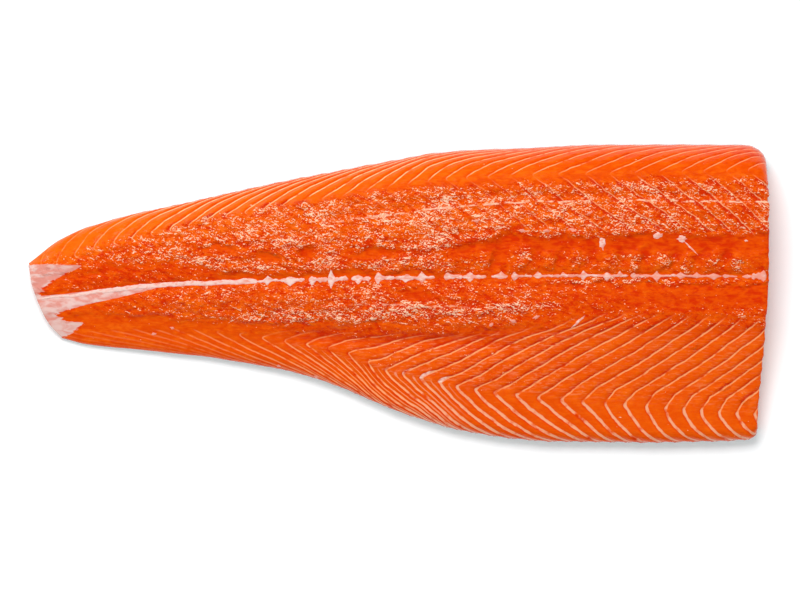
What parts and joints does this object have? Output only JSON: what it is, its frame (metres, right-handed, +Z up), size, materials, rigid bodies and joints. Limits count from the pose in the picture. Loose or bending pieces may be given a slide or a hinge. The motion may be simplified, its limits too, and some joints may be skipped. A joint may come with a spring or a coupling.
{
  "type": "raw salmon fillet",
  "caption": "Raw salmon fillet, tail half of one side, laid skin side down, with a thick loin, a thin belly and square-cut ends.",
  "frame": {"origin": "middle of the box, on the plane that the skin side rests on", "axes": "+X from the tail cut to the head cut, +Y from the belly edge to the back edge, +Z up, out of the cut flesh"},
  "size_m": [0.4, 0.1612, 0.0339],
  "materials": {
    "salmon_flesh": "wet, translucent orange flesh with pale lines"
  },
  "bodies": {
    "root": {"salmon_fillet": "salmon_flesh"}
  },
  "joints": []
}
